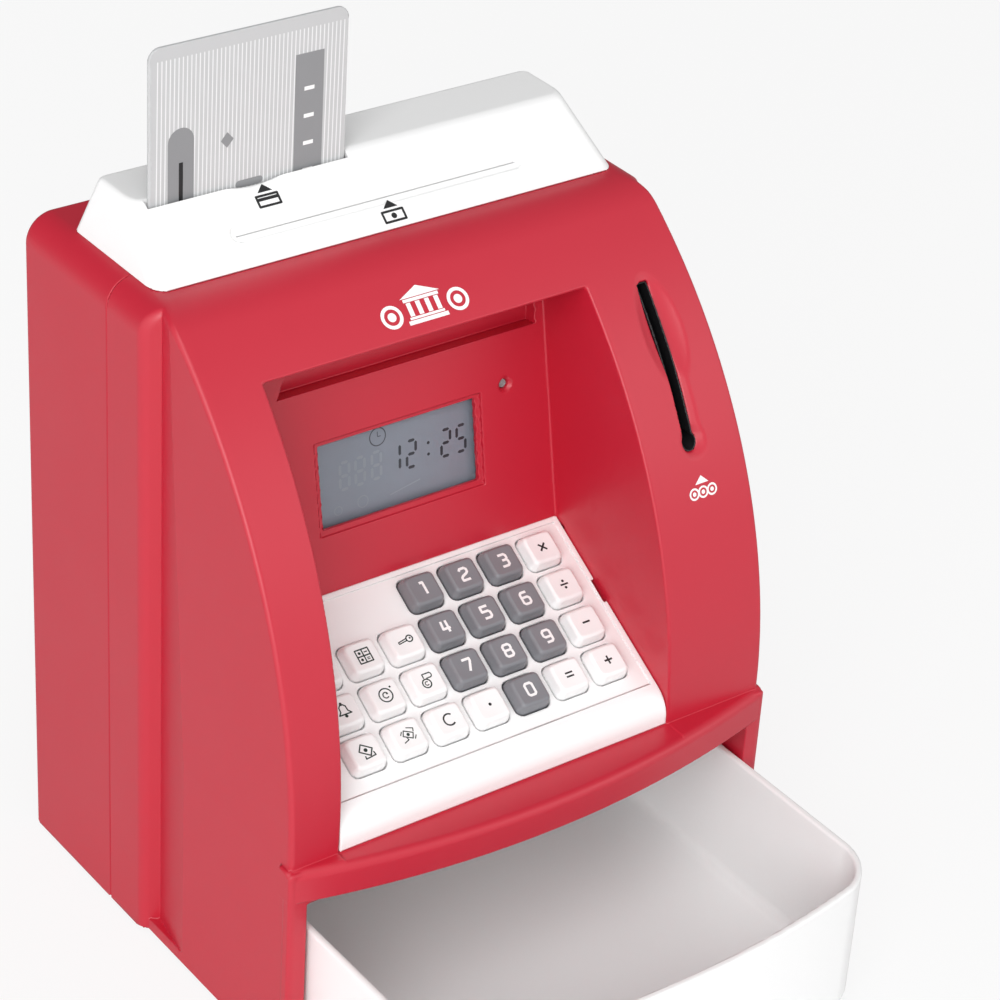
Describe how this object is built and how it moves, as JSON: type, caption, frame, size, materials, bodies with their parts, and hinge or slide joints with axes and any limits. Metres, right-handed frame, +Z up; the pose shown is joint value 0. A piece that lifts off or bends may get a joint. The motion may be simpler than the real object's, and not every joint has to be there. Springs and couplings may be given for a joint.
{
  "type": "toy cash machine savings bank",
  "caption": "Toy cash machine savings bank: bulged housing with keypad, display, coin slot, a top cover with card and bill slots, and a sliding cash drawer.",
  "frame": {"origin": "centre of the bounding box of the part with its drawer open, on the table surface", "axes": "+X to the right seen from the front, +Y to the back, +Z up"},
  "size_m": [0.1446, 0.182, 0.2316],
  "materials": {
    "red_plastic": "moulded, soft gloss",
    "white_plastic": "moulded, satin",
    "grey_key": "moulded, satin",
    "inner_plastic": "moulded",
    "black_plastic": "moulded",
    "gear_plastic": "moulded acetal",
    "foot_rubber": "matt",
    "silicone": "matt, translucent",
    "steel": "zinc-plated",
    "brass": "machined",
    "copper_winding": "enamelled wire",
    "cell_sleeve": "printed sleeve, gloss",
    "clear_window": "clear acrylic",
    "display_glass": "liquid crystal display with printed segments",
    "clear_led": "clear epoxy",
    "circuit_board": "solder mask",
    "card_plastic": "printed laminate"
  },
  "bodies": {
    "housing": {"front_housing": "red_plastic", "rear_housing": "red_plastic", "base_plate": "red_plastic", "rubber_feet": "foot_rubber", "housing_screws": "steel", "top_cover": "white_plastic", "keypad_panel": "white_plastic", "lcd_window": "clear_window", "lcd_module": "display_glass", "main_board": "circuit_board", "keypad_board": "circuit_board", "key_membrane": "silicone", "indicator_led": "clear_led", "speaker": "black_plastic", "coin_chute": "inner_plastic", "bill_guide": "inner_plastic", "feed_motor": "steel", "drawer_spring": "steel", "latch_bracket": "inner_plastic", "latch_solenoid": "copper_winding", "battery_box": "inner_plastic", "battery_cells": "cell_sleeve", "battery_contacts": "steel", "card_pocket": "inner_plastic"},
    "drawer": {"drawer_tray": "white_plastic"},
    "card": {"bank_card": "card_plastic"},
    "coin_lever": {"coin_lever": "white_plastic"},
    "drive_roller": {"drive_shaft": "steel", "drive_tyres": "foot_rubber", "roller_gear": "gear_plastic"},
    "pinch_roller": {"pinch_roller": "gear_plastic"},
    "motor_pinion": {"motor_pinion": "brass"},
    "drawer_latch": {"drawer_latch": "steel"},
    "battery_door": {"battery_door": "red_plastic"},
    "key_1": {"key_1": "grey_key"},
    "key_2": {"key_2": "grey_key"},
    "key_3": {"key_3": "grey_key"},
    "key_multiply": {"key_multiply": "white_plastic"},
    "key_card": {"key_card": "white_plastic"},
    "key_calculator": {"key_calculator": "white_plastic"},
    "key_code": {"key_code": "white_plastic"},
    "key_4": {"key_4": "grey_key"},
    "key_5": {"key_5": "grey_key"},
    "key_6": {"key_6": "grey_key"},
    "key_divide": {"key_divide": "white_plastic"},
    "key_alarm": {"key_alarm": "white_plastic"},
    "key_coin": {"key_coin": "white_plastic"},
    "key_coin_out": {"key_coin_out": "white_plastic"},
    "key_7": {"key_7": "grey_key"},
    "key_8": {"key_8": "grey_key"},
    "key_9": {"key_9": "grey_key"},
    "key_minus": {"key_minus": "white_plastic"},
    "key_note": {"key_note": "white_plastic"},
    "key_note_out": {"key_note_out": "white_plastic"},
    "key_clear": {"key_clear": "white_plastic"},
    "key_point": {"key_point": "white_plastic"},
    "key_0": {"key_0": "grey_key"},
    "key_equals": {"key_equals": "white_plastic"},
    "key_plus": {"key_plus": "white_plastic"}
  },
  "joints": [
    {"name": "drawer_slide", "type": "slide", "parent": "housing", "child": "drawer", "axis": [0, -1, 0], "range_m": [-0.054, 0.0095], "deforming": ["drawer_spring"]},
    {"name": "card_slide", "type": "slide", "parent": "housing", "child": "card", "axis": [0, 0, 1], "range_m": [0, 0.05]},
    {"name": "coin_lever_hinge", "type": "hinge", "parent": "housing", "child": "coin_lever", "pos_m": [0.054, 0.008, 0.092], "axis": [1, 0, 0], "range_deg": [0, 35], "stiffness_Nm_per_rad": 0.002, "springref_deg": -5.73},
    {"name": "drive_spin", "type": "hinge", "parent": "housing", "child": "drive_roller", "pos_m": [0, 0.0429, 0.134], "axis": [1, 0, 0], "continuous": true},
    {"name": "pinch_spin", "type": "hinge", "parent": "housing", "child": "pinch_roller", "pos_m": [0, 0.0525, 0.134], "axis": [1, 0, 0], "continuous": true},
    {"name": "pinion_spin", "type": "hinge", "parent": "housing", "child": "motor_pinion", "pos_m": [0.0483, 0.0429, 0.12377], "axis": [1, 0, 0], "continuous": true},
    {"name": "latch_hinge", "type": "hinge", "parent": "housing", "child": "drawer_latch", "pos_m": [0.05, 0.06, 0.051], "axis": [1, 0, 0], "range_deg": [-12, 0], "stiffness_Nm_per_rad": 0.05, "springref_deg": 5.73},
    {"name": "battery_door_slide", "type": "slide", "parent": "housing", "child": "battery_door", "axis": [0, 1, 0], "range_m": [0, 0.025]},
    {"name": "press_key_1", "type": "slide", "parent": "housing", "child": "key_1", "axis": [0, 0.5105, -0.8599], "range_m": [0, 0.001], "stiffness_N_per_m": 300, "springref_m": -0.0005},
    {"name": "press_key_2", "type": "slide", "parent": "housing", "child": "key_2", "axis": [0, 0.5105, -0.8599], "range_m": [0, 0.001], "stiffness_N_per_m": 300, "springref_m": -0.0005},
    {"name": "press_key_3", "type": "slide", "parent": "housing", "child": "key_3", "axis": [0, 0.5105, -0.8599], "range_m": [0, 0.001], "stiffness_N_per_m": 300, "springref_m": -0.0005},
    {"name": "press_key_multiply", "type": "slide", "parent": "housing", "child": "key_multiply", "axis": [0, 0.5105, -0.8599], "range_m": [0, 0.001], "stiffness_N_per_m": 300, "springref_m": -0.0005},
    {"name": "press_key_card", "type": "slide", "parent": "housing", "child": "key_card", "axis": [0, 0.5105, -0.8599], "range_m": [0, 0.001], "stiffness_N_per_m": 300, "springref_m": -0.0005},
    {"name": "press_key_calculator", "type": "slide", "parent": "housing", "child": "key_calculator", "axis": [0, 0.5105, -0.8599], "range_m": [0, 0.001], "stiffness_N_per_m": 300, "springref_m": -0.0005},
    {"name": "press_key_code", "type": "slide", "parent": "housing", "child": "key_code", "axis": [0, 0.5105, -0.8599], "range_m": [0, 0.001], "stiffness_N_per_m": 300, "springref_m": -0.0005},
    {"name": "press_key_4", "type": "slide", "parent": "housing", "child": "key_4", "axis": [0, 0.5105, -0.8599], "range_m": [0, 0.001], "stiffness_N_per_m": 300, "springref_m": -0.0005},
    {"name": "press_key_5", "type": "slide", "parent": "housing", "child": "key_5", "axis": [0, 0.5105, -0.8599], "range_m": [0, 0.001], "stiffness_N_per_m": 300, "springref_m": -0.0005},
    {"name": "press_key_6", "type": "slide", "parent": "housing", "child": "key_6", "axis": [0, 0.5105, -0.8599], "range_m": [0, 0.001], "stiffness_N_per_m": 300, "springref_m": -0.0005},
    {"name": "press_key_divide", "type": "slide", "parent": "housing", "child": "key_divide", "axis": [0, 0.5105, -0.8599], "range_m": [0, 0.001], "stiffness_N_per_m": 300, "springref_m": -0.0005},
    {"name": "press_key_alarm", "type": "slide", "parent": "housing", "child": "key_alarm", "axis": [0, 0.5105, -0.8599], "range_m": [0, 0.001], "stiffness_N_per_m": 300, "springref_m": -0.0005},
    {"name": "press_key_coin", "type": "slide", "parent": "housing", "child": "key_coin", "axis": [0, 0.5105, -0.8599], "range_m": [0, 0.001], "stiffness_N_per_m": 300, "springref_m": -0.0005},
    {"name": "press_key_coin_out", "type": "slide", "parent": "housing", "child": "key_coin_out", "axis": [0, 0.5105, -0.8599], "range_m": [0, 0.001], "stiffness_N_per_m": 300, "springref_m": -0.0005},
    {"name": "press_key_7", "type": "slide", "parent": "housing", "child": "key_7", "axis": [0, 0.5105, -0.8599], "range_m": [0, 0.001], "stiffness_N_per_m": 300, "springref_m": -0.0005},
    {"name": "press_key_8", "type": "slide", "parent": "housing", "child": "key_8", "axis": [0, 0.5105, -0.8599], "range_m": [0, 0.001], "stiffness_N_per_m": 300, "springref_m": -0.0005},
    {"name": "press_key_9", "type": "slide", "parent": "housing", "child": "key_9", "axis": [0, 0.5105, -0.8599], "range_m": [0, 0.001], "stiffness_N_per_m": 300, "springref_m": -0.0005},
    {"name": "press_key_minus", "type": "slide", "parent": "housing", "child": "key_minus", "axis": [0, 0.5105, -0.8599], "range_m": [0, 0.001], "stiffness_N_per_m": 300, "springref_m": -0.0005},
    {"name": "press_key_note", "type": "slide", "parent": "housing", "child": "key_note", "axis": [0, 0.5105, -0.8599], "range_m": [0, 0.001], "stiffness_N_per_m": 300, "springref_m": -0.0005},
    {"name": "press_key_note_out", "type": "slide", "parent": "housing", "child": "key_note_out", "axis": [0, 0.5105, -0.8599], "range_m": [0, 0.001], "stiffness_N_per_m": 300, "springref_m": -0.0005},
    {"name": "press_key_clear", "type": "slide", "parent": "housing", "child": "key_clear", "axis": [0, 0.5105, -0.8599], "range_m": [0, 0.001], "stiffness_N_per_m": 300, "springref_m": -0.0005},
    {"name": "press_key_point", "type": "slide", "parent": "housing", "child": "key_point", "axis": [0, 0.5105, -0.8599], "range_m": [0, 0.001], "stiffness_N_per_m": 300, "springref_m": -0.0005},
    {"name": "press_key_0", "type": "slide", "parent": "housing", "child": "key_0", "axis": [0, 0.5105, -0.8599], "range_m": [0, 0.001], "stiffness_N_per_m": 300, "springref_m": -0.0005},
    {"name": "press_key_equals", "type": "slide", "parent": "housing", "child": "key_equals", "axis": [0, 0.5105, -0.8599], "range_m": [0, 0.001], "stiffness_N_per_m": 300, "springref_m": -0.0005},
    {"name": "press_key_plus", "type": "slide", "parent": "housing", "child": "key_plus", "axis": [0, 0.5105, -0.8599], "range_m": [0, 0.001], "stiffness_N_per_m": 300, "springref_m": -0.0005}
  ],
  "couplings": [
    {"joint": "pinion_spin", "follows": "drive_spin", "ratio": -2.6667},
    {"joint": "pinch_spin", "follows": "drive_spin", "ratio": -1.25}
  ]
}
